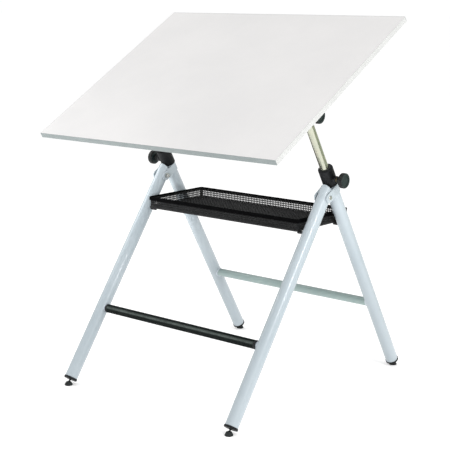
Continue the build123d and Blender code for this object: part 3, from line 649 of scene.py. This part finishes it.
floor_mesh = bpy.data.meshes.new("floor")
size = 60.0
floor_mesh.from_pydata([(-size, -size, 0), (size, -size, 0), (size, size, 0), (-size, size, 0)], [], [(0, 1, 2, 3)])
floor_mesh.materials.append(plain("floor_paint", (0.95, 0.95, 0.95), 0.8, 0.25))
floor = bpy.data.objects.new("floor", floor_mesh)
floor.location.z = -0.0006
bpy.context.scene.collection.objects.link(floor)

world = bpy.data.worlds.new("studio")
world.use_nodes = True
tree = world.node_tree


def world_math(kind, a, b):
    node = tree.nodes.new("ShaderNodeMath")
    node.operation = kind
    for socket, value in zip(node.inputs, (a, b)):
        if hasattr(value, "links"):
            tree.links.new(value, socket)
        else:
            socket.default_value = value
    return node.outputs["Value"]


def toward(direction, low, high, to_low, to_high):
    """Number that depends on how far the ray points toward a direction."""
    dot = tree.nodes.new("ShaderNodeVectorMath")
    dot.operation = "DOT_PRODUCT"
    tree.links.new(tree.nodes.new("ShaderNodeTexCoord").outputs["Generated"], dot.inputs[0])
    dot.inputs[1].default_value = Vector(direction).normalized()
    node = tree.nodes.new("ShaderNodeMapRange")
    node.interpolation_type = "SMOOTHSTEP"
    for name, number in (("From Min", low), ("From Max", high), ("To Min", to_low), ("To Max", to_high)):
        node.inputs[name].default_value = number
    tree.links.new(dot.outputs["Value"], node.inputs["Value"])
    return node.outputs["Result"]


# a white studio: full white behind the table, dimmer light from the back left
ray = tree.nodes.new("ShaderNodeLightPath").outputs
room = toward((0.8, -0.6, 0.2), -1.0, 1.0, 0.47, 1.06)
seen = world_math("MULTIPLY", ray["Is Camera Ray"], 1.02)
hidden = world_math("MULTIPLY", world_math("SUBTRACT", 1.0, ray["Is Camera Ray"]), room)
background = tree.nodes["Background"]
background.inputs["Color"].default_value = (1.0, 1.0, 1.0, 1.0)
tree.links.new(world_math("ADD", seen, hidden), background.inputs["Strength"])
bpy.context.scene.world = world


def area_light(name, location, target, size, energy, color=(1, 1, 1)):
    """Soft light aimed at target; size is its width and its height."""
    lamp = bpy.data.lights.new(name, "AREA")
    lamp.shape = "RECTANGLE"
    lamp.size, lamp.size_y = size
    lamp.energy = energy
    lamp.color = color
    item = bpy.data.objects.new(name, lamp)
    item.location = location
    item.rotation_euler = (Vector(target) - Vector(location)).to_track_quat("-Z", "Y").to_euler()
    bpy.context.scene.collection.objects.link(item)
    return item


key = area_light("key", (4.4, 0.2, 1.3), (0, 0, 0.55), (0.8, 0.8), 72, (1.0, 0.99, 0.97))
key.visible_glossy = False
area_light("strip_right", (3.51, -1.3, 2.6), (0.35, -0.1, 0.5), (0.22, 0.95), 38)
fill = area_light("fill_left", (-2.3, -2.5, 0.75), (-0.35, -0.05, 0.7), (1.0, 0.7), 26)
fill.visible_glossy = False


def spot_light(name, location, target, cone, energy):
    """Soft-edged spot aimed at target; cone is its full angle in degrees."""
    lamp = bpy.data.lights.new(name, "SPOT")
    lamp.spot_size = math.radians(cone)
    lamp.spot_blend = 1.0
    lamp.shadow_soft_size = 0.25
    lamp.energy = energy
    item = bpy.data.objects.new(name, lamp)
    item.location = location
    item.rotation_euler = (Vector(target) - Vector(location)).to_track_quat("-Z", "Y").to_euler()
    item.visible_glossy = False
    bpy.context.scene.collection.objects.link(item)


spot_light("hinge_spot_left", (-3.0, -1.7, 0.25), (-0.35, 0.0, 0.68), 15, 420)
spot_light("hinge_spot_front", (1.5, -3.1, 0.3), (-0.35, 0.0, 0.6), 8.5, 450)
spot_light("hinge_spot_right", (2.4, -2.6, 0.25), (0.36, 0.0, 0.68), 12, 170)
area_light("softbox_left", (-3.0, -0.75, 2.7), (0.0, -0.1, 0.6), (1.6, 1.6), 30)


def dark_screen(name, foot_a, foot_b, height):
    """Grey card standing on the floor, seen only in reflections."""
    mesh = bpy.data.meshes.new(name)
    corners = [(*foot_a, 0), (*foot_b, 0), (*foot_b, height), (*foot_a, height)]
    mesh.from_pydata(corners, [], [(0, 1, 2, 3)])
    mesh.materials.append(plain(f"{name}_felt", (0.41, 0.44, 0.37), 0.9, 0.0))
    card = bpy.data.objects.new(name, mesh)
    bpy.context.scene.collection.objects.link(card)
    for kind in ("camera", "diffuse", "transmission", "volume_scatter", "shadow"):
        setattr(card, f"visible_{kind}", False)


dark_screen("screen_right", (1.51, 0.29), (0.45, 1.2), 1.15)
dark_screen("screen_left", (-1.45, 0.05), (-1.2, 0.75), 0.85)

camera_data = bpy.data.cameras.new("camera")
camera_data.sensor_width = 36.0
camera_data.lens = 36.0 * 1176.1 / 450.0
camera_data.clip_end = 200.0
camera = bpy.data.objects.new("camera", camera_data)
azimuth, elevation, roll = math.radians(40.40), math.radians(11.22), math.radians(0.1)
back = Vector((
    math.sin(azimuth) * math.cos(elevation),
    -math.cos(azimuth) * math.cos(elevation),
    math.sin(elevation),
))
right = Vector((math.cos(azimuth), math.sin(azimuth), 0.0))
up = back.cross(right)
matrix = Matrix((right, up, back)).transposed().to_4x4() @ Matrix.Rotation(roll, 4, "Z")
matrix.translation = Vector((2.4593, -2.9452, 1.2799))
camera.matrix_world = matrix
bpy.context.scene.collection.objects.link(camera)
bpy.context.scene.camera = camera
bpy.context.scene.view_settings.view_transform = "Standard"
